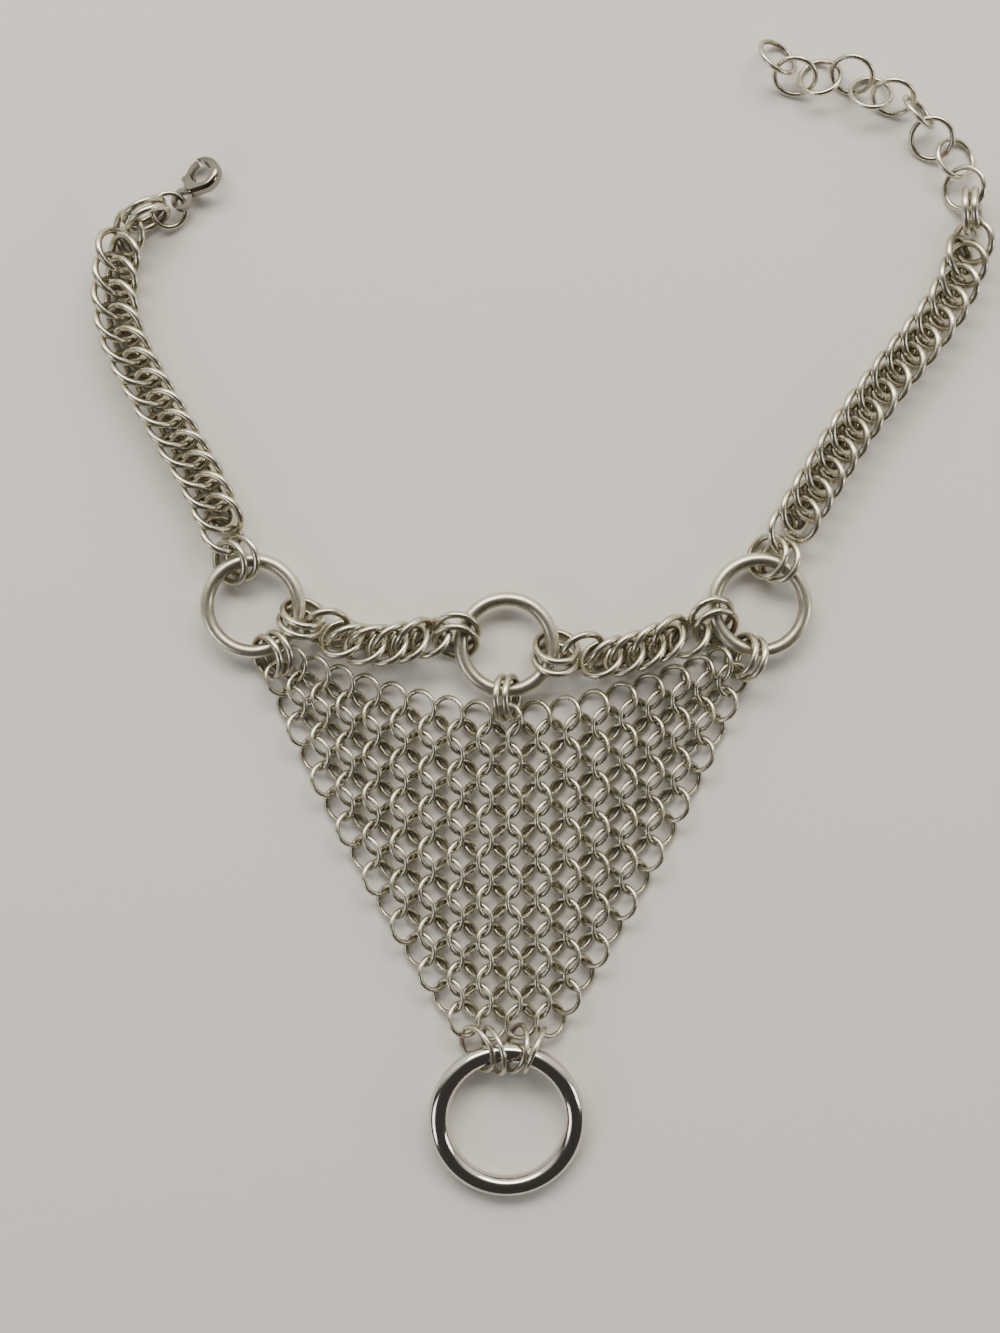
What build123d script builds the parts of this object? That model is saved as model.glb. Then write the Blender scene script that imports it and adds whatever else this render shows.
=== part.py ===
"""Chainmail collar necklace, lying open on a flat surface.

A triangular panel of small woven rings hangs between three large round rings.
Two heavy woven chains join the large rings in front, two more go round the
neck, and a big plain ring hangs from the panel's point. A lobster clasp closes
the collar on a chain of thin loose rings.

Millimetres. +Z is up, +Y points from the pendant ring to the clasp, and the
origin is on the floor under the middle of the laid-out necklace.
"""
from build123d import *

import os
from math import asin, atan, atan2, cos, degrees, hypot, radians, sin, sqrt, tan

# Middle of the bounding box on the floor plan that the points below are given on
plan_middle = (0.623, 0.798)

# Small woven rings of the panel
mail_wire = 1.1
mail_play = 0.15
mail_ratio = 3.02
mail_radius = mail_ratio * (mail_wire + mail_play)

# The panel's lie, its lengths in steps of the small rings' mean radius
widest_row = 18
shortest_row = 4
mail_pitch = 1.722 * mail_radius
mail_row = 2.384 * mail_radius
panel_sag = 3.656 * mail_radius
sag_power = 1.3
edge_narrowing = 0.09
mail_lean = 31.6
lean_gain = 0.18
turn_gain = 1.128
turn_ease = 2.387
panel_middle = (-7.4, -26.6)

# Panel rings that the joints pull out of line: row, column, then how far each moves right
# and up the sheet and is lifted, and how much more it leans and turns
pulled_rings = {
    (0, 8.5): (0.0, -0.35, 1.0, -2, -10),
    (-1, 8.0): (-0.65, -0.3, 0.15, 16, 18),
    (14, -1.5): (0.3, 0.1, 0.25, 1.5, 13),
    (14, -0.5): (-0.1, -0.15, 0.2, -2.5, 1),
    (14, 0.5): (0.0, 0.15, 0.25, -4.5, -5),
    (14, 1.5): (0.05, -0.1, 0.3, 0.5, 8),
}

# Heavy links of the woven chains and of the joints between them
link_wire = 1.6
link_inner = 7.8

# Large rings of the collar
ring_wire = 3.1
ring_outer = 23.5
ring_height = 4.2

# Pendant ring: its near side lies on the links that carry it
pendant_wire = 4.6
pendant_outer = 35.0
pendant_near_height = 4.8
pendant_slack = 3.0

# The pendant ring's four thin rings: how far right of the panel's middle and below its
# lowest row each one's centre is, its lift, and how far it leans towards which heading
pendant_links = [
    (-6.6, 5.55, 0.0, 52, -157),
    (-2.85, 5.7, 0.25, 67, -166),
    (2.15, 5.15, 0.35, 68, 164),
    (6.3, 5.55, 0.0, 96, 156),
]

# Thin loose rings at the pendant, the clasp and the adjusting chain
thin_wire = 1.2
thin_inner = 8.0
jump_inner = 6.4
drop_inner = 9.2

# Woven chains: a rounded band between two end links
band_width = 10.0
band_thick = 7.6
band_corner = 2.6
band_setback = 1.4
weave_lean = 46.0
weave_turn = 27.5
weave_offset = 1.0
weave_height = 4.2

# Joints between the pieces
pair_spacing = 1.95
panel_slack = 2.4
centre_slack = 2.9
chain_slack = 2.88

# How the pairs of heavy links lie: their lean, how far to the left of the joint's line
# they are, and how far past the wire of the ring that they start from
pair_lies = {
    "left_neck_link": (137, 0.0, 0.65),
    "left_front_link": (126, 0.9, 1.1),
    "right_neck_link": (138, 0.8, 0.7),
    "right_front_link": (135, -0.35, 0.65),
    "centre_left_link": (133, -0.45, 1.05),
    "centre_right_link": (135, -0.35, 0.9),
    "left_panel_link": (51, 0.2, 1.65),
    "right_panel_link": (60, 1.1, 1.65),
    "centre_panel_link": (109, 0.1, 1.55),
    "left_end_link": (82, 0.9, 1.65),
    "right_end_link": (71, -0.65, 1.95),
}

# Headings of the joints round each large ring, in degrees from +X
left_panel_heading = 111.0
left_neck_heading = 110.0
left_front_heading = -19.0
right_panel_heading = 69.7
right_neck_heading = 69.0
right_front_heading = 201.0
centre_left_heading = 172.0
centre_right_heading = -8.0

# Points that the woven chains pass, between the large rings and the neck ends
left_neck_points = [(-73.5, 29.0), (-79.5, 39.0), (-86.5, 51.0), (-92.5, 62.0), (-94.8, 73.9), (-92.4, 86.4)]
right_neck_points = [(60.5, 28.5), (68.0, 41.0), (77.5, 54.0), (87.0, 65.5), (93.0, 75.0), (95.4, 84.5)]
left_front_points = [(-40.0, -4.4), (-32.0, -4.9)]
right_front_points = [(17.0, -7.6), (25.0, -5.6)]

# The adjusting chain's thin rings from the neck chain outwards: heading and length
# of the step to each ring, the length as a share of the ring's mean diameter, then
# how far the ring leans and towards which heading
adjusting_steps = [
    (96, 0.60, 37, -167),
    (105, 0.78, 26, 31),
    (142, 0.74, 34, -121),
    (119, 0.69, 59, 42),
    (150, 0.72, 56, -107),
    (164, 0.53, 32, 90),
    (140, 0.63, 51, -114),
    (182, 0.75, 31, 122),
    (181, 0.63, 50, -105),
    (131, 0.63, 44, 46),
]

# Neck ends: headings of the pairs there, and of the jump ring that carries the clasp
right_end_heading = 92.0
left_end_heading = 27.0
jump_heading = 29.0
jump_lean = 31.0
jump_towards = -53.0
jump_past = 1.15

# Clasp: a lobster claw with a sprung lever
clasp_heading = 50.0
clasp_roll = 25.0
clasp_thick = 3.0
clasp_round = 1.0
clasp_head = 4.2
clasp_opening = 2.6
clasp_reach = 7.2
neck_reach = 3.4
neck_width = 3.6
eye_outer = 5.2
eye_hole = 3.2
eye_thick = 1.4
hook_end = 20.0
slot_start = 128.0

# The clasp's lever, which turns on a pin between two cheeks
lever_thick = 1.2
lever_wall = 1.2
lever_setback = 0.2
lever_start = 66.0
lever_pivot = 150.0
lever_boss = 2.0
lever_play = 0.2
pin_size = 0.9
pin_play = 0.3
thumb_size = 1.5
thumb_angle = 138.0

link_radius = (link_inner + link_wire) / 2
drop_radius = (drop_inner + thin_wire) / 2
ring_radius = (ring_outer - ring_wire) / 2
pendant_radius = (pendant_outer - pendant_wire) / 2
thin_radius = (thin_inner + thin_wire) / 2
jump_radius = (jump_inner + thin_wire) / 2


def plan_spot(point):
    """A point of the floor plan, from the origin."""
    return Vector(*point) - Vector(*plan_middle)


def polar(distance, heading):
    return Vector(distance * cos(radians(heading)), distance * sin(radians(heading)))


def ring_place(centre, height, lean, heading):
    """Where a ring lies: its axis leans from upright towards a heading."""
    across = sin(radians(lean))
    axis = Vector(across * cos(radians(heading)), across * sin(radians(heading)), cos(radians(lean)))
    return Plane(origin=(centre.X, centre.Y, height), z_dir=axis).location


def save(made, name):
    made.part.label = name
    export_step(made.part, f"parts/{name}.step")


def one_ring(name, place, radius, wire):
    with BuildPart() as made:
        with Locations(place):
            Torus(radius, wire / 2)
    save(made, name)


def sag_share(column):
    last = (widest_row - 1) / 2
    return (hypot(column, 1) - 1) / (hypot(last, 1) - 1)


def mail_centre(row, column):
    """A small ring's centre on the floor: rows rise towards both ends."""
    last = (widest_row - 1) / 2
    x = mail_pitch * column * (1 - edge_narrowing * (column / last) ** 2)
    y = panel_sag * sag_share(column) ** sag_power - mail_row * row / 2
    return plan_spot(panel_middle) + Vector(x, y)


def mail_place(row, column):
    """Rows lean left and right by turns, and follow the slope that their row has."""
    last = (widest_row - 1) / 2
    side = 1 if row % 2 == 0 else -1
    rise = sag_power * sag_share(column) ** (sag_power - 1) * column / hypot(column, 1)
    slope = side * atan(panel_sag * rise / (hypot(last, 1) - 1) / mail_pitch)
    lean = radians(mail_lean) + lean_gain * slope ** 2
    turn = turn_ease * slope ** 3 - turn_gain * slope
    heading = degrees(turn) if side > 0 else 180 - degrees(turn)
    right, up, lift, more_lean, more_turn = pulled_rings.get((row, column), (0, 0, 0, 0, 0))
    lean = degrees(lean) + more_lean
    height = mail_radius * sin(radians(lean)) + mail_wire / 2 + lift
    return ring_place(mail_centre(row, column) + Vector(right, up), height, lean, heading + more_turn)


os.makedirs("parts", exist_ok=True)

# Panel of small woven rings
mail_rows = range(-1, widest_row - shortest_row + 1)
mail_places = []
for row in mail_rows:
    ring_count = widest_row - abs(row)
    for ring in range(ring_count):
        mail_places.append(mail_place(row, ring - (ring_count - 1) / 2))

with BuildPart() as mail_panel:
    with Locations(*mail_places):
        Torus(mail_radius, mail_wire / 2)
save(mail_panel, "mail_panel")

# Large rings, each tied to the panel ring beside it by a pair of links
last_column = (widest_row - 1) / 2
panel_span = ring_radius + mail_radius + link_inner - (ring_wire + mail_wire) / 2
left_ring = mail_centre(0, -last_column) + polar(panel_span - panel_slack, left_panel_heading)
right_ring = mail_centre(0, last_column) + polar(panel_span - panel_slack, right_panel_heading)
centre_ring = mail_centre(-1, 0) + polar(panel_span - centre_slack, 90)
for name, spot in [("ring_left", left_ring), ("ring_right", right_ring), ("ring_centre", centre_ring)]:
    one_ring(name, ring_place(spot, ring_height, 0, 0), ring_radius, ring_wire)


def link_pair(name, middle, heading, lean):
    """Two heavy links side by side, in line with a heading and leaning across it."""
    spacing = pair_spacing / sin(radians(lean))
    height = link_radius * sin(radians(lean)) + link_wire / 2
    for number, side in [(1, -1), (2, 1)]:
        spot = middle + polar(side * spacing / 2, heading + 90)
        one_ring(f"{name}_{number}", ring_place(spot, height, lean, heading - 90), link_radius, link_wire)


for name, hub, heading in [
    ("left_neck_link", left_ring, left_neck_heading),
    ("left_front_link", left_ring, left_front_heading),
    ("right_neck_link", right_ring, right_neck_heading),
    ("right_front_link", right_ring, right_front_heading),
    ("centre_left_link", centre_ring, centre_left_heading),
    ("centre_right_link", centre_ring, centre_right_heading),
    ("left_panel_link", left_ring, left_panel_heading + 180),
    ("right_panel_link", right_ring, right_panel_heading + 180),
    ("centre_panel_link", centre_ring, 270),
]:
    lean, aside, past = pair_lies[name]
    link_pair(name, hub + polar(ring_radius + past, heading) + polar(aside, heading + 90), heading, lean)

# Pendant ring, on thin rings through the panel's lowest row
pendant_lean = degrees(asin((pendant_near_height - pendant_wire / 2) / (2 * pendant_radius)))
pendant_height = (pendant_near_height + pendant_wire / 2) / 2
lowest_row = widest_row - shortest_row
lowest_middle = mail_centre(lowest_row, 0)
pendant_spot = lowest_middle - Vector(0, pendant_radius + drop_inner - pendant_slack)
pendant_place = ring_place(pendant_spot, pendant_height, pendant_lean, -90)
one_ring("pendant_ring", pendant_place, pendant_radius, pendant_wire)
for number, (right, down, lift, lean, heading) in enumerate(pendant_links):
    height = drop_radius * sin(radians(lean)) + thin_wire / 2 + lift
    place = ring_place(lowest_middle + Vector(right, -down), height, lean, heading)
    one_ring(f"pendant_link_{number + 1}", place, drop_radius, thin_wire)


def end_link(point, inward):
    """The last link of a woven chain, whose rim on the joint's side is the high one."""
    spot = point + polar(weave_offset, inward + 90)
    return ring_place(spot, weave_height, weave_lean, inward + weave_turn - 90)


rim_lean = sin(radians(weave_lean)) * sin(radians(weave_turn))
rim_reach = link_radius * sqrt(1 - rim_lean ** 2)
chain_span = ring_radius + rim_reach + link_inner - (ring_wire + link_wire) / 2 - chain_slack


def woven_chain(name, points):
    """A band that bends through its points, with a link fused into each end."""
    turns = []
    for before, at, after in zip(points, points[1:], points[2:]):
        turn = radians((at - before).get_angle(after - at))
        run = min((at - before).length, (after - at).length)
        turns.append(0.45 * run / tan(turn / 2))
    headings = []
    for end, beside in [(points[0], points[1]), (points[-1], points[-2])]:
        headings.append(degrees(atan2(beside.Y - end.Y, beside.X - end.X)))
    start = points[0] + polar(rim_reach + band_setback - link_radius, headings[0])
    finish = points[-1] + polar(rim_reach + band_setback - link_radius, headings[1])
    line_spots = [start, *points[1:-1], finish]
    with BuildPart() as made:
        with BuildLine(Plane.XY.offset(weave_height)) as line:
            FilletPolyline(*[(spot.X, spot.Y) for spot in line_spots], radius=turns)
        with BuildSketch(Plane(origin=line.line @ 0, z_dir=line.line % 0, x_dir=(0, 0, 1))):
            RectangleRounded(band_thick, band_width, band_corner)
        sweep()
        with Locations(end_link(points[0], headings[0]), end_link(points[-1], headings[1])):
            Torus(link_radius, link_wire / 2)
    save(made, name)


def route(first, points, last=None):
    spots = [first] + [plan_spot(point) for point in points]
    return spots if last is None else spots + [last]


woven_chain("neck_chain_left", route(left_ring + polar(chain_span, left_neck_heading), left_neck_points))
woven_chain("neck_chain_right", route(right_ring + polar(chain_span, right_neck_heading), right_neck_points))
woven_chain("front_chain_left", route(
    left_ring + polar(chain_span, left_front_heading), left_front_points,
    centre_ring + polar(chain_span, centre_left_heading)))
woven_chain("front_chain_right", route(
    centre_ring + polar(chain_span, centre_right_heading), right_front_points,
    right_ring + polar(chain_span, right_front_heading)))


def end_pair(name, point, heading):
    """The pair at a neck chain's free end. Returns the place that it is set out from."""
    lean, aside, past = pair_lies[name]
    middle = plan_spot(point) + polar(rim_reach + past, heading)
    link_pair(name, middle + polar(aside, heading + 90), heading, lean)
    return middle


# Adjusting chain on the right neck chain's end
right_pair = end_pair("right_end_link", right_neck_points[-1], right_end_heading)
adjusting_places = []
spot = right_pair
for heading, share, lean, towards in adjusting_steps:
    spot = spot + polar(2 * thin_radius * share, heading)
    height = thin_radius * sin(radians(lean)) + thin_wire / 2
    adjusting_places.append(ring_place(spot, height, lean, towards))
with BuildPart() as adjusting_chain:
    with Locations(*adjusting_places):
        Torus(thin_radius, thin_wire / 2)
save(adjusting_chain, "adjusting_chain")

# Jump ring and clasp on the left neck chain's end
left_pair = end_pair("left_end_link", left_neck_points[-1], left_end_heading)
clasp_height = clasp_head * sin(radians(clasp_roll)) + clasp_thick / 2 * cos(radians(clasp_roll))
jump_spot = left_pair + polar(jump_past, left_end_heading) + polar(jump_radius, jump_heading)
one_ring("jump_ring", ring_place(jump_spot, clasp_height, jump_lean, jump_towards), jump_radius, thin_wire)

eye_spot = jump_spot + polar(jump_radius, jump_towards + 90)
clasp_axis = polar(sin(radians(clasp_roll)), clasp_heading + 90) + Vector(0, 0, cos(radians(clasp_roll)))
clasp_plane = Plane(
    origin=(eye_spot.X, eye_spot.Y, clasp_height),
    x_dir=tuple(polar(1, clasp_heading)),
    z_dir=tuple(clasp_axis))
head_spot = Vector(clasp_reach, 0)
lever_outer = clasp_head - lever_setback
lever_inner = lever_outer - lever_wall
pivot_spot = head_spot + polar((lever_outer + lever_inner) / 2, lever_pivot)
lever_corner = head_spot + polar(lever_outer, lever_start)
swing_radius = (lever_corner - pivot_spot).length + lever_play
slot_height = lever_thick / 2 + lever_play


def fan(start, end):
    """Corners of a fan that opens from the middle of the clasp's head between two angles."""
    far = 2 * clasp_head
    corners = [head_spot] + [head_spot + polar(far, angle) for angle in (start, (start + end) / 2, end)]
    return [(corner.X, corner.Y) for corner in corners]


with BuildPart() as clasp_body:
    with BuildSketch(clasp_plane.offset(-clasp_thick / 2)):
        with Locations((clasp_reach, 0)):
            Circle(clasp_head)
        with Locations((neck_reach, 0)):
            Circle(neck_width / 2)
        make_hull()
    extrude(amount=clasp_thick)
    fillet(clasp_body.edges(), clasp_round)
    with BuildSketch(clasp_plane.offset(-eye_thick / 2)):
        Circle(eye_outer / 2)
    extrude(amount=eye_thick)
    with BuildSketch(clasp_plane.offset(-clasp_thick)):
        Circle(eye_hole / 2)
        with Locations((clasp_reach, 0)):
            Circle(clasp_opening)
    extrude(amount=2 * clasp_thick, mode=Mode.SUBTRACT)
    with BuildSketch(clasp_plane.offset(-clasp_thick)):
        with Locations((pivot_spot.X, pivot_spot.Y)):
            Circle(swing_radius)
        Polygon(*fan(hook_end, slot_start), align=None, mode=Mode.INTERSECT)
    extrude(amount=2 * clasp_thick, mode=Mode.SUBTRACT)
    with BuildSketch(clasp_plane.offset(-slot_height)):
        Polygon(*fan(lever_start, lever_pivot), align=None)
        with Locations((pivot_spot.X, pivot_spot.Y)):
            Circle(lever_boss / 2 + pin_play)
    extrude(amount=2 * slot_height, mode=Mode.SUBTRACT)
    with BuildSketch(clasp_plane.offset(-clasp_thick / 3)):
        with Locations((pivot_spot.X, pivot_spot.Y)):
            Circle(pin_size / 2)
    extrude(amount=2 * clasp_thick / 3)
save(clasp_body, "clasp_body")

with BuildPart() as clasp_lever:
    with BuildSketch(clasp_plane.offset(-lever_thick / 2)):
        with BuildLine():
            outer_arc = CenterArc((clasp_reach, 0), lever_outer, lever_start, lever_pivot - lever_start)
            inner_arc = CenterArc((clasp_reach, 0), lever_inner, lever_start, lever_pivot - lever_start)
            Line(outer_arc @ 0, inner_arc @ 0)
            Line(outer_arc @ 1, inner_arc @ 1)
        make_face()
        thumb_spot = head_spot + polar(lever_outer + thumb_size / 3, thumb_angle)
        with Locations((thumb_spot.X, thumb_spot.Y)):
            Circle(thumb_size / 2)
        with Locations((pivot_spot.X, pivot_spot.Y)):
            Circle(lever_boss / 2)
            Circle(pin_size / 2 + pin_play / 2, mode=Mode.SUBTRACT)
    extrude(amount=lever_thick)
save(clasp_lever, "clasp_lever")
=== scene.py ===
"""Chainmail collar necklace laid open: woven ring panel, heavy woven chains, large rings,
pendant ring, adjusting chain and lobster clasp. Metres, +Z up, +Y towards the neck ends."""

import math
import random

import bpy
import numpy
from mathutils import Matrix, Vector


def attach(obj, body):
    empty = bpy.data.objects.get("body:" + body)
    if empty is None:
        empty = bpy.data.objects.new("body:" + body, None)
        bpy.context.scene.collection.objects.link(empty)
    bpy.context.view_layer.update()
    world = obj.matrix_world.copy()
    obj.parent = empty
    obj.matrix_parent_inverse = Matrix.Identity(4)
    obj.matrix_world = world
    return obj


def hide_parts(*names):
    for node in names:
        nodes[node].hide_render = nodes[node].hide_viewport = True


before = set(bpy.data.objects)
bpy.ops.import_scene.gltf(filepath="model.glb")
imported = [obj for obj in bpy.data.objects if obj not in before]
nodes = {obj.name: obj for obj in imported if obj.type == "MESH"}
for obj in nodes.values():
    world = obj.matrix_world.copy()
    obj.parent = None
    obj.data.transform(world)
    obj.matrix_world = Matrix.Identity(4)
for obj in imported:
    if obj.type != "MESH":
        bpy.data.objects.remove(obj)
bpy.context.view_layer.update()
bpy.ops.object.select_all(action="DESELECT")
random.seed(7)

MM = 0.001

# Wire and mean radius of each kind of ring
MAIL = (1.16 * MM, 3.775 * MM)
LINK = (1.6 * MM, 4.7 * MM)
LARGE = (3.1 * MM, 10.2 * MM)
THIN = (1.2 * MM, 4.6 * MM)
DROP = (1.2 * MM, 5.2 * MM)
JUMP = (1.2 * MM, 3.8 * MM)

# Faces round each kind of ring and round its wire, and the angle in degrees up to which they look round
MAIL_FACES = (20, 6)
LINK_FACES = (28, 8)
THIN_FACES = (28, 8)
LARGE_FACES = (96, 24)
SMOOTH_UNDER = 65

# The saw cut's width, and how many face lengths beside it are taken in when it is cut
SAW_GAP = 0.13 * MM
LARGE_SAW_GAP = 0.10 * MM
SAW_REACH = 1.6

# Corners of a CAD node closer than this are one, and a ring's axis leaning less than this counts as upright
SAME_SPOT = 0.002 * MM
NEARLY_UPRIGHT = 0.02

# How fine the patterns in the metal are, in specks to a metre, and how deep their relief is
TARNISH_CLOUDS = 420.0
TARNISH_SPOTS = 1300.0
WIRE_GRAIN = 5200.0
WIRE_GRAIN_DEEP = 0.05 * MM
PLATING_HAZE = 160.0
PLATING_WAVES = 240.0
PLATING_WAVES_DEEP = 0.12 * MM

# How much darker a ring is at its inner side, as painted shade, from one ring to the next, and in the
# clouds of tarnish, and how steeply the painted shade of the inner side falls off
INSIDE_DARKER = 0.80
RING_DARKER = 0.30
CLOUD_DARKER = (-0.16, 0.20)
INSIDE_FALL = 1.5

# The levels of a noise between which clouds, sheen, spots and haze come in, and the share of the spots
# that a ring's outer side has
CLOUD_LEVELS = (0.35, 0.65)
SHEEN_LEVELS = (0.3, 0.7)
SPOT_LEVELS = (0.54, 0.66)
HAZE_LEVELS = (0.45, 0.7)
SPOTS_OUTSIDE = 0.35


# Materials

def new_material(name):
    material = bpy.data.materials.new(name)
    material.use_nodes = True
    tree = material.node_tree
    tree.nodes.clear()
    output = tree.nodes.new("ShaderNodeOutputMaterial")
    shader = tree.nodes.new("ShaderNodeBsdfPrincipled")
    tree.links.new(shader.outputs["BSDF"], output.inputs["Surface"])
    return material, tree, shader


def place_node(tree):
    return tree.nodes.new("ShaderNodeTexCoord").outputs["Object"]


def noise(tree, place, scale, detail, roughness):
    node = tree.nodes.new("ShaderNodeTexNoise")
    node.inputs["Scale"].default_value = scale
    node.inputs["Detail"].default_value = detail
    node.inputs["Roughness"].default_value = roughness
    tree.links.new(place, node.inputs["Vector"])
    return node.outputs["Fac"]


def remap(tree, value, low, high, to_low, to_high):
    node = tree.nodes.new("ShaderNodeMapRange")
    node.inputs["From Min"].default_value = low
    node.inputs["From Max"].default_value = high
    node.inputs["To Min"].default_value = to_low
    node.inputs["To Max"].default_value = to_high
    tree.links.new(value, node.inputs["Value"])
    return node.outputs["Result"]


def arithmetic(tree, operation, first, second):
    node = tree.nodes.new("ShaderNodeMath")
    node.operation = operation
    for socket, value in zip(node.inputs, (first, second)):
        if isinstance(value, (int, float)):
            socket.default_value = value
        else:
            tree.links.new(value, socket)
    return node.outputs[0]


def blend_colours(tree, share, first, second):
    node = tree.nodes.new("ShaderNodeMix")
    node.data_type = "RGBA"
    tree.links.new(share, node.inputs["Factor"])
    for name, value in (("A", first), ("B", second)):
        socket = next(s for s in node.inputs if s.name == name and s.type == "RGBA")
        if isinstance(value, tuple):
            socket.default_value = (*value, 1.0)
        else:
            tree.links.new(value, socket)
    return next(s for s in node.outputs if s.type == "RGBA")


def bump(tree, shader, height, strength, distance):
    node = tree.nodes.new("ShaderNodeBump")
    node.inputs["Strength"].default_value = strength
    node.inputs["Distance"].default_value = distance
    tree.links.new(height, node.inputs["Height"])
    tree.links.new(node.outputs["Normal"], shader.inputs["Normal"])


def satin_steel(name, pale, dull_and_shaded, tarnish, rough, rough_spread, tarnish_share):
    """Tumbled wire: pale on the outside of each ring, darker inside it as painted shade, with thin tarnish.
    """
    material, tree, shader = new_material(name)
    place = place_node(tree)
    inside_shade_and_patina = tree.nodes.new("ShaderNodeAttribute")
    inside_shade_and_patina.attribute_name = "inside"
    tone = tree.nodes.new("ShaderNodeAttribute")
    tone.attribute_name = "tone"
    cloud = noise(tree, place, TARNISH_CLOUDS, detail=4.0, roughness=0.6)
    # The darker inner side is painted shade; each ring's own tone and the tarnish clouds add to it
    shade = arithmetic(tree, "ADD", arithmetic(tree, "MULTIPLY", inside_shade_and_patina.outputs["Fac"], INSIDE_DARKER),
                       arithmetic(tree, "MULTIPLY", tone.outputs["Fac"], RING_DARKER))
    shade = arithmetic(tree, "ADD", shade, remap(tree, cloud, *CLOUD_LEVELS, *CLOUD_DARKER))
    colour = blend_colours(tree, shade, pale, dull_and_shaded)
    spots = noise(tree, place, TARNISH_SPOTS, detail=5.0, roughness=0.65)
    spots = remap(tree, spots, *SPOT_LEVELS, 0.0, tarnish_share)
    sheltered = remap(tree, inside_shade_and_patina.outputs["Fac"], 0.0, 1.0, SPOTS_OUTSIDE, 1.0)
    spots = arithmetic(tree, "MULTIPLY", spots, sheltered)
    colour = blend_colours(tree, spots, colour, tarnish)
    tree.links.new(colour, shader.inputs["Base Color"])
    shader.inputs["Metallic"].default_value = 1.0
    roughness = remap(tree, cloud, *SHEEN_LEVELS, rough - rough_spread, rough + rough_spread)
    tree.links.new(roughness, shader.inputs["Roughness"])
    grain = noise(tree, place, WIRE_GRAIN, detail=3.0, roughness=0.6)
    bump(tree, shader, grain, strength=0.16, distance=WIRE_GRAIN_DEEP)
    return material


def bright_nickel(name, colour, hazed, rough, haze_rough):
    """Polished plating with a faint haze and slight waves."""
    material, tree, shader = new_material(name)
    place = place_node(tree)
    cloud = noise(tree, place, PLATING_HAZE, detail=4.0, roughness=0.6)
    haze = remap(tree, cloud, *HAZE_LEVELS, 0.0, 1.0)
    tree.links.new(blend_colours(tree, haze, colour, hazed), shader.inputs["Base Color"])
    shader.inputs["Metallic"].default_value = 1.0
    tree.links.new(remap(tree, haze, 0.0, 1.0, rough, haze_rough), shader.inputs["Roughness"])
    waves = noise(tree, place, PLATING_WAVES, detail=2.0, roughness=0.5)
    bump(tree, shader, waves, strength=0.10, distance=PLATING_WAVES_DEEP)
    return material


# The dark end of the steels: painted shade at the rings' inner sides, and the steel's darker tone and
# tarnish
TARNISH = (0.15, 0.12, 0.08)
DULL_AND_SHADED_STEEL = (0.30, 0.27, 0.20)
steel = satin_steel(
    "satin_steel", (0.70, 0.66, 0.54), DULL_AND_SHADED_STEEL, TARNISH,
    rough=0.29, rough_spread=0.07, tarnish_share=0.60)
thin_steel = satin_steel(
    "thin_satin_steel", (0.74, 0.70, 0.58), DULL_AND_SHADED_STEEL, TARNISH,
    rough=0.27, rough_spread=0.07, tarnish_share=0.45)
large_steel = satin_steel(
    "large_ring_steel", (0.70, 0.67, 0.55), DULL_AND_SHADED_STEEL, TARNISH,
    rough=0.36, rough_spread=0.06, tarnish_share=0.55)
nickel = bright_nickel(
    "bright_nickel", (0.66, 0.62, 0.58), hazed=(0.56, 0.51, 0.47), rough=0.10, haze_rough=0.19)
# The clasp's nickel is painted darker than the pendant ring's, as painted shade for the dark surroundings it
# reflects
clasp_shaded_nickel = bright_nickel(
    "clasp_shaded_nickel", (0.27, 0.25, 0.21), hazed=(0.17, 0.155, 0.13), rough=0.14, haze_rough=0.23)


# Modelling helpers

def only(obj):
    bpy.ops.object.select_all(action="DESELECT")
    obj.select_set(True)
    bpy.context.view_layer.objects.active = obj


def copy_of(obj, name):
    copy = obj.copy()
    copy.data = obj.data.copy()
    copy.name = copy.data.name = name
    bpy.context.collection.objects.link(copy)
    return copy


def join_as(parts, name):
    bpy.ops.object.select_all(action="DESELECT")
    for part in parts:
        part.select_set(True)
    bpy.context.view_layer.objects.active = parts[0]
    if len(parts) > 1:
        bpy.ops.object.join()
    joined = bpy.context.object
    joined.name = joined.data.name = name
    return joined


def remove(obj):
    mesh = obj.data
    bpy.data.objects.remove(obj)
    bpy.data.meshes.remove(mesh)


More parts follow.
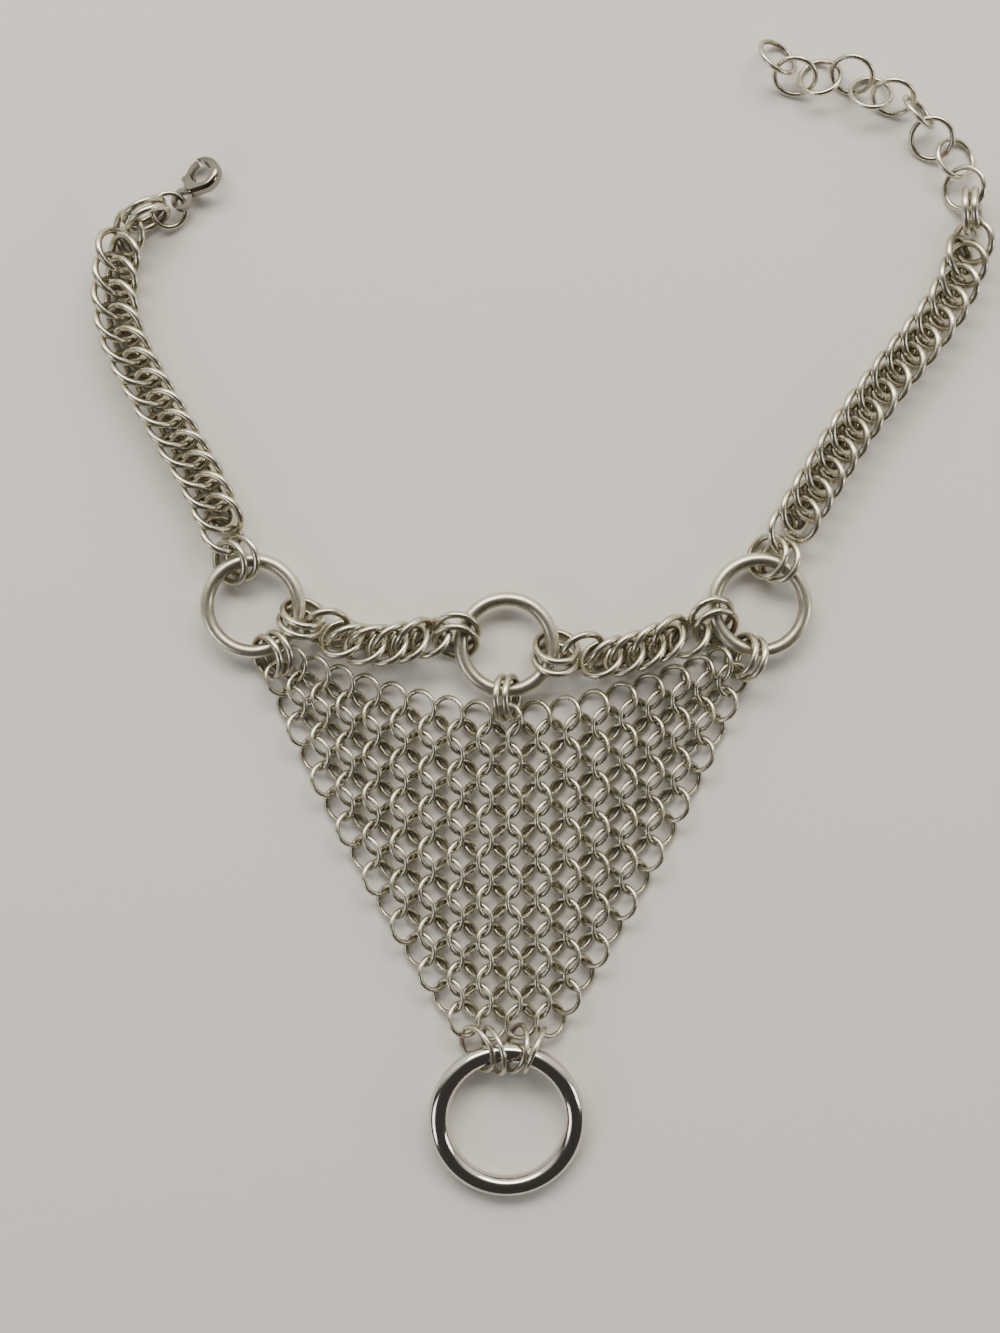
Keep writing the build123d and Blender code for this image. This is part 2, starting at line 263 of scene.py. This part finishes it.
def sawn_ring(name, size, faces, gap, material):
    """A ring of round wire about +Z with its saw cut at +X, kept as a pattern to copy."""
    wire, radius = size
    bpy.ops.mesh.primitive_torus_add(
        major_segments=faces[0], minor_segments=faces[1], major_radius=radius, minor_radius=wire / 2)
    ring = bpy.context.object
    ring.name = ring.data.name = name
    only(ring)
    step = 2 * math.pi * radius / faces[0]
    for side in (1, -1):
        bpy.ops.object.mode_set(mode="OBJECT")
        for face in ring.data.polygons:
            face.select = face.center.x > 0 and abs(face.center.y) < SAW_REACH * step
        for edge in ring.data.edges:
            edge.select = False
        for vertex in ring.data.vertices:
            vertex.select = False
        bpy.ops.object.mode_set(mode="EDIT")
        bpy.ops.mesh.select_mode(type="FACE")
        bpy.ops.mesh.bisect(plane_co=(radius, side * gap / 2, 0), plane_no=(0, 1, 0))
    bpy.ops.object.mode_set(mode="OBJECT")
    for face in ring.data.polygons:
        face.select = face.center.x > 0 and abs(face.center.y) < gap / 2
    bpy.ops.object.mode_set(mode="EDIT")
    bpy.ops.mesh.delete(type="FACE")
    bpy.ops.mesh.select_mode(type="EDGE")
    bpy.ops.mesh.select_all(action="DESELECT")
    bpy.ops.mesh.select_non_manifold()
    bpy.ops.mesh.fill_holes(sides=0)
    bpy.ops.mesh.select_all(action="SELECT")
    bpy.ops.mesh.normals_make_consistent(inside=False)
    bpy.ops.object.mode_set(mode="OBJECT")
    bpy.ops.object.shade_smooth_by_angle(angle=math.radians(SMOOTH_UNDER))
    # How much painted shade each corner takes: full at the wire's inner side, none at its outer side
    inside = ring.data.attributes.new("inside", "FLOAT", "POINT")
    for vertex, value in zip(ring.data.vertices, inside.data):
        outward = (math.hypot(vertex.co.x, vertex.co.y) - radius) / (wire / 2)
        value.value = min(1.0, max(0.0, 0.5 - 0.5 * outward)) ** INSIDE_FALL
    ring.data.materials.append(material)
    return ring


def lay_ring(pattern, place, seam):
    """A copy of a ring at a place, its saw cut turned by an angle and its tone its own."""
    ring = copy_of(pattern, "ring")
    ring.data.transform(place @ Matrix.Rotation(seam, 4, "Z"))
    tone = ring.data.attributes.new("tone", "FLOAT", "POINT")
    own = random.random()
    for value in tone.data:
        value.value = own
    return ring


def ring_matrix(centre, axis):
    """A place whose Z is the ring's axis, its X level where it can be."""
    axis = Vector(axis).normalized()
    across = Vector((0, 0, 1)).cross(axis)
    across = Vector((1, 0, 0)) if across.length < NEARLY_UPRIGHT else across.normalized()
    turned = Matrix((across, axis.cross(across), axis)).transposed().to_4x4()
    return Matrix.Translation(centre) @ turned


def ring_places(node):
    """Where each loose ring of a CAD node lies, read from its solids."""
    whole = copy_of(nodes[node], "reading")
    only(whole)
    bpy.ops.object.mode_set(mode="EDIT")
    bpy.ops.mesh.select_all(action="SELECT")
    bpy.ops.mesh.remove_doubles(threshold=SAME_SPOT)
    bpy.ops.mesh.separate(type="LOOSE")
    bpy.ops.object.mode_set(mode="OBJECT")
    places = []
    for part in list(bpy.context.selected_objects):
        spots = numpy.empty(len(part.data.vertices) * 3)
        part.data.vertices.foreach_get("co", spots)
        spots = spots.reshape(-1, 3)
        middle = spots.mean(axis=0)
        axis = Vector(numpy.linalg.svd(spots - middle, full_matrices=False)[2][2])
        if axis.z < 0:
            axis.negate()
        turned = ring_matrix(Vector(), axis).to_3x3()
        local = spots @ numpy.array(turned)
        centre = (local.max(axis=0) + local.min(axis=0)) / 2
        places.append(ring_matrix(turned @ Vector(centre), axis))
        remove(part)
    return sorted(places, key=lambda place: (round(place[1][3], 5), round(place[0][3], 5)))


def finish_piece(piece, slot, *replaced):
    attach(piece, "necklace")
    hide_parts(*replaced)


# Patterns

mail_pattern = sawn_ring("mail_pattern", MAIL, MAIL_FACES, SAW_GAP, steel)
link_pattern = sawn_ring("link_pattern", LINK, LINK_FACES, SAW_GAP, steel)
thin_pattern = sawn_ring("thin_pattern", THIN, THIN_FACES, SAW_GAP, thin_steel)
drop_pattern = sawn_ring("drop_pattern", DROP, THIN_FACES, SAW_GAP, thin_steel)
jump_pattern = sawn_ring("jump_pattern", JUMP, THIN_FACES, SAW_GAP, thin_steel)
large_pattern = sawn_ring("large_pattern", LARGE, LARGE_FACES, LARGE_SAW_GAP, large_steel)


def any_seam():
    return random.uniform(0, 2 * math.pi)


# Where the loose rings of each CAD node lie
lying = {}


def ring_piece(name, pattern, slot, seams, *replaced):
    """One piece of all the loose rings in some CAD nodes."""
    parts = []
    for node in replaced:
        lying[node] = ring_places(node)
        for place in lying[node]:
            seam = seams.pop(0) if seams else any_seam()
            parts.append(lay_ring(pattern, place, seam))
    piece = join_as(parts, name)
    finish_piece(piece, slot, *replaced)


# Panel, large rings, joints and loose rings

ring_piece("mail_rings", mail_pattern, "antiqued_steel", [], "mail_panel")
for side, seam in (("left", 84), ("centre", -72), ("right", 180)):
    ring_piece(f"large_ring_{side}", large_pattern, "antiqued_steel", [math.radians(seam)], f"ring_{side}")
for joint in ("left_neck", "left_front", "right_neck", "right_front", "centre_left", "centre_right",
              "left_panel", "right_panel", "centre_panel", "left_end", "right_end"):
    ring_piece(f"{joint}_links", link_pattern, "antiqued_steel", [], f"{joint}_link_1", f"{joint}_link_2")
ring_piece("pendant_links", drop_pattern, "thin_ring_steel", [], *[f"pendant_link_{n}" for n in range(1, 5)])
ring_piece("adjusting_rings", thin_pattern, "thin_ring_steel", [], "adjusting_chain")
ring_piece("clasp_ring", jump_pattern, "thin_ring_steel", [], "jump_ring")

# Woven chains: two rows of leaning rings, each through the next

# How far the woven rings lean and turn along the chain in degrees, and how far the two rows stand off its
# middle, are stepped along it and lie above the floor
WEAVE_LEAN = 46.0
WEAVE_TURN = 27.5
WEAVE_OFFSET = 1.0 * MM
WEAVE_STEP = 1.05 * MM
WEAVE_HEIGHT = 4.2 * MM

# How far apart the woven rings are eased, how often each is moved, by what share of the shortfall,
# and what share of the way it settles back
EASED_GAP = 0.12 * MM
EASING_ROUNDS = 140
EASING_PUSH = 0.3
SETTLING_BACK = 0.01

# A thin ring's resistance to turning about a line across it, as a share of its weight by its radius squared
TURNING_SHARE = 0.5

# How many spots round a ring are tried for the one nearest to another ring
RIM_SPOTS = 72

# The chains: rings in each row, the joints at both ends, and the route in millimetres
ROUTES = {
    "neck_chain_left": (14, ("left_neck", "left_end"), [
        (-70.38, 18.7), (-74.12, 28.2), (-80.12, 38.2), (-87.12, 50.2),
        (-93.12, 61.2), (-95.42, 73.1), (-93.02, 85.6)]),
    "neck_chain_right": (15, ("right_neck", "right_end"), [
        (54.42, 18.67), (59.88, 27.7), (67.38, 40.2), (76.88, 53.2),
        (86.38, 64.7), (92.38, 74.2), (94.78, 83.7)]),
    "front_chain_left": (5, ("left_front", "centre_left"), [
        (-48.23, -3.07), (-40.62, -5.2), (-32.62, -5.7), (-25.06, -3.73)]),
    "front_chain_right": (5, ("centre_right", "right_front"), [
        (9.01, -8.52), (16.38, -8.4), (24.38, -6.4), (32.19, -3.56)]),
}


def smooth_route(points):
    """Points close together on the route's spline, and the length up to each."""
    curve = bpy.data.curves.new("route", "CURVE")
    curve.dimensions = "3D"
    curve.resolution_u = 32
    spline = curve.splines.new("NURBS")
    spline.points.add(len(points) - 1)
    for spot, (x, y) in zip(spline.points, points):
        spot.co = (x * MM, y * MM, 0, 1)
    spline.order_u = 3
    spline.use_endpoint_u = True
    holder = bpy.data.objects.new("route", curve)
    bpy.context.collection.objects.link(holder)
    bpy.context.view_layer.update()
    mesh = bpy.data.meshes.new_from_object(holder)
    spots = [vertex.co.copy() for vertex in mesh.vertices]
    bpy.data.meshes.remove(mesh)
    bpy.data.objects.remove(holder)
    bpy.data.curves.remove(curve)
    lengths = [0.0]
    for before, after in zip(spots, spots[1:]):
        lengths.append(lengths[-1] + (after - before).length)
    return spots, lengths


def along(route, length):
    """The spot and heading at a length along a route."""
    spots, lengths = route
    index = 0
    while index < len(spots) - 2 and lengths[index + 1] < length:
        index += 1
    run = spots[index + 1] - spots[index]
    share = (length - lengths[index]) / (lengths[index + 1] - lengths[index])
    return spots[index] + run * share, run.normalized()


RIM_TURNS = numpy.linspace(0, 2 * numpy.pi, RIM_SPOTS, endpoint=False)[:, None]


def nearest_spots(centres, axes, one, other):
    """Where one ring's wire comes nearest to another's, as spots on both middle lines."""
    radius = LINK[1]
    across = numpy.cross((0, 0, 1), axes[one])
    across /= numpy.linalg.norm(across)
    upward = numpy.cross(axes[one], across)
    rim = centres[one] + radius * (numpy.cos(RIM_TURNS) * across + numpy.sin(RIM_TURNS) * upward)
    arms = rim - centres[other]
    arms -= (arms @ axes[other])[:, None] * axes[other]
    facing = centres[other] + arms * (radius / numpy.linalg.norm(arms, axis=1))[:, None]
    apart = numpy.linalg.norm(rim - facing, axis=1)
    index = apart.argmin()
    return rim[index], facing[index], apart[index]


def ease_apart(places, held):
    """Rings pushed off each other's wire, as they settle in a real chain, but for the held ones."""
    wire, radius = LINK
    centres = numpy.array([place.translation for place in places])
    axes = numpy.array([place.col[2].to_3d() for place in places])
    homes = centres.copy()
    reach = 2 * radius + wire
    resistance = TURNING_SHARE * radius ** 2
    pairs = [(one, other) for one in range(len(places)) for other in range(one + 1, len(places))
             if numpy.linalg.norm(centres[one] - centres[other]) < reach and not (held[one] and held[other])]
    for _ in range(EASING_ROUNDS):
        for pair in pairs:
            for one, other in (pair, pair[::-1]):
                spot, facing, apart = nearest_spots(centres, axes, one, other)
                short = wire + EASED_GAP - apart
                if short <= 0:
                    continue
                away = (spot - facing) / apart
                push_by = EASING_PUSH * short
                for ring, touch, push in ((one, spot, push_by), (other, facing, -push_by)):
                    if held[ring]:
                        continue
                    twist = numpy.cross(touch - centres[ring], away)
                    share = 1 / (1 + twist @ twist / resistance)
                    centres[ring] += push * share * away
                    axes[ring] += numpy.cross(push * share * twist / resistance, axes[ring])
                    axes[ring] /= numpy.linalg.norm(axes[ring])
        for ring in range(len(places)):
            if not held[ring]:
                centres[ring] += SETTLING_BACK * (homes[ring] - centres[ring])
                lowest = centres[ring][2] - radius * math.sqrt(1 - axes[ring][2] ** 2) - wire / 2
                centres[ring][2] -= min(0, lowest)
    return [ring_matrix(Vector(centre), Vector(axis)) for centre, axis in zip(centres, axes)]


def woven_rings(name, count, joints, points):
    route = smooth_route(points)
    pitch = (route[1][-1] + WEAVE_STEP) / count
    lean = math.radians(WEAVE_LEAN)
    turn = math.radians(WEAVE_TURN)
    places = []
    for number in range(2 * count):
        row = 1 if number % 2 == 0 else -1
        if row == 1:
            spot, forward = along(route, number // 2 * pitch)
        else:
            spot, forward = along(route, (number // 2 + 1) * pitch - WEAVE_STEP)
        right = Vector((forward.y, -forward.x, 0))
        axis = row * math.sin(lean) * (math.cos(turn) * right + math.sin(turn) * forward)
        axis.z = math.cos(lean)
        centre = spot - row * WEAVE_OFFSET * right
        centre.z = WEAVE_HEIGHT
        places.append(ring_matrix(centre, axis))
    beside = [place for joint in joints for number in (1, 2) for place in lying[f"{joint}_link_{number}"]]
    held = [number in (0, 2 * count - 1) for number in range(2 * count)] + [True] * len(beside)
    places = ease_apart(places + beside, held)[:2 * count]
    piece = join_as([lay_ring(link_pattern, place, any_seam()) for place in places], f"{name}_rings")
    finish_piece(piece, "antiqued_steel", name)


for name, (count, joints, points) in ROUTES.items():
    woven_rings(name, count, joints, points)

for pattern in (mail_pattern, link_pattern, thin_pattern, drop_pattern, jump_pattern, large_pattern):
    remove(pattern)


# Parts kept from the model

def dress(node, material):
    mesh = nodes[node].data
    mesh.materials.clear()
    mesh.materials.append(material)


dress("pendant_ring", nickel)
dress("clasp_body", clasp_shaded_nickel)
dress("clasp_lever", clasp_shaded_nickel)

# Floor, light and camera

FLOOR_ACROSS = 3.0
FLOOR_COLOUR = (0.72, 0.70, 0.67)

bpy.ops.mesh.primitive_grid_add(x_subdivisions=8, y_subdivisions=8, size=FLOOR_ACROSS, location=(0, 0, 0))
floor = bpy.context.object
floor.name = "floor"
floor_material, _, floor_shader = new_material("pale_floor")
floor_shader.inputs["Base Color"].default_value = (*FLOOR_COLOUR, 1)
floor_shader.inputs["Roughness"].default_value = 0.85
floor_shader.inputs["Specular IOR Level"].default_value = 0.2
floor.data.materials.append(floor_material)

# How bright the surroundings are beyond the neck ends and elsewhere, and over which slopes of the
# line of sight they brighten towards +Y and darken overhead
SKY_WALL = 1.2
SKY_REST = 0.06
SKY_COLOUR = (1.0, 0.96, 0.88)
WALL_BRIGHTENS = (0.08, 0.50)
OVERHEAD_DARKENS = (0.72, 0.92)

world = bpy.data.worlds.new("studio")
bpy.context.scene.world = world
world.use_nodes = True
sky = world.node_tree
facing = sky.nodes.new("ShaderNodeSeparateXYZ")
sky.links.new(sky.nodes.new("ShaderNodeTexCoord").outputs["Generated"], facing.inputs["Vector"])
wall = remap(sky, facing.outputs["Y"], *WALL_BRIGHTENS, 0.0, 1.0)
overhead = remap(sky, facing.outputs["Z"], *OVERHEAD_DARKENS, 1.0, 0.0)
glow = arithmetic(sky, "MULTIPLY", arithmetic(sky, "MULTIPLY", wall, overhead), SKY_WALL)
background = sky.nodes["Background"]
background.inputs["Color"].default_value = (*SKY_COLOUR, 1)
sky.links.new(arithmetic(sky, "ADD", glow, SKY_REST), background.inputs["Strength"])

# The spot on which the photograph is centred
VIEW_MIDDLE = Vector((-9.5 * MM, -11.0 * MM, 4.0 * MM))


def soft_light(name, spot, size, power, colour):
    light = bpy.data.lights.new(name, "AREA")
    light.shape = "RECTANGLE"
    light.size, light.size_y = size
    light.energy = power
    light.color = colour
    holder = bpy.data.objects.new(name, light)
    bpy.context.collection.objects.link(holder)
    holder.location = spot
    holder.rotation_euler = (VIEW_MIDDLE - Vector(spot)).to_track_quat("-Z", "Y").to_euler()


soft_light("key", spot=(-0.06, 0.66, 0.78), size=(1.30, 0.34), power=14.0, colour=(1.0, 0.94, 0.83))
soft_light("fill", spot=(-0.80, -0.45, 0.55), size=(0.50, 0.40), power=2.4, colour=(0.94, 0.96, 1.0))
soft_light("side", spot=(0.85, -0.10, 0.40), size=(0.30, 0.40), power=1.8, colour=(1.0, 0.96, 0.90))

# The height of what the photograph shows, and how far above it the camera stands
PHOTO_HIGH = 296.6 * MM
CAMERA_AWAY = 430.0 * MM
camera_data = bpy.data.cameras.new("camera")
camera_data.sensor_fit = "VERTICAL"
camera_data.angle = 2 * math.atan(PHOTO_HIGH / 2 / CAMERA_AWAY)
camera_data.clip_start = 0.01
camera_data.clip_end = 10.0
camera = bpy.data.objects.new("camera", camera_data)
bpy.context.collection.objects.link(camera)
camera.location = VIEW_MIDDLE + Vector((0, 0, CAMERA_AWAY))
bpy.context.scene.camera = camera

bpy.context.view_layer.update()
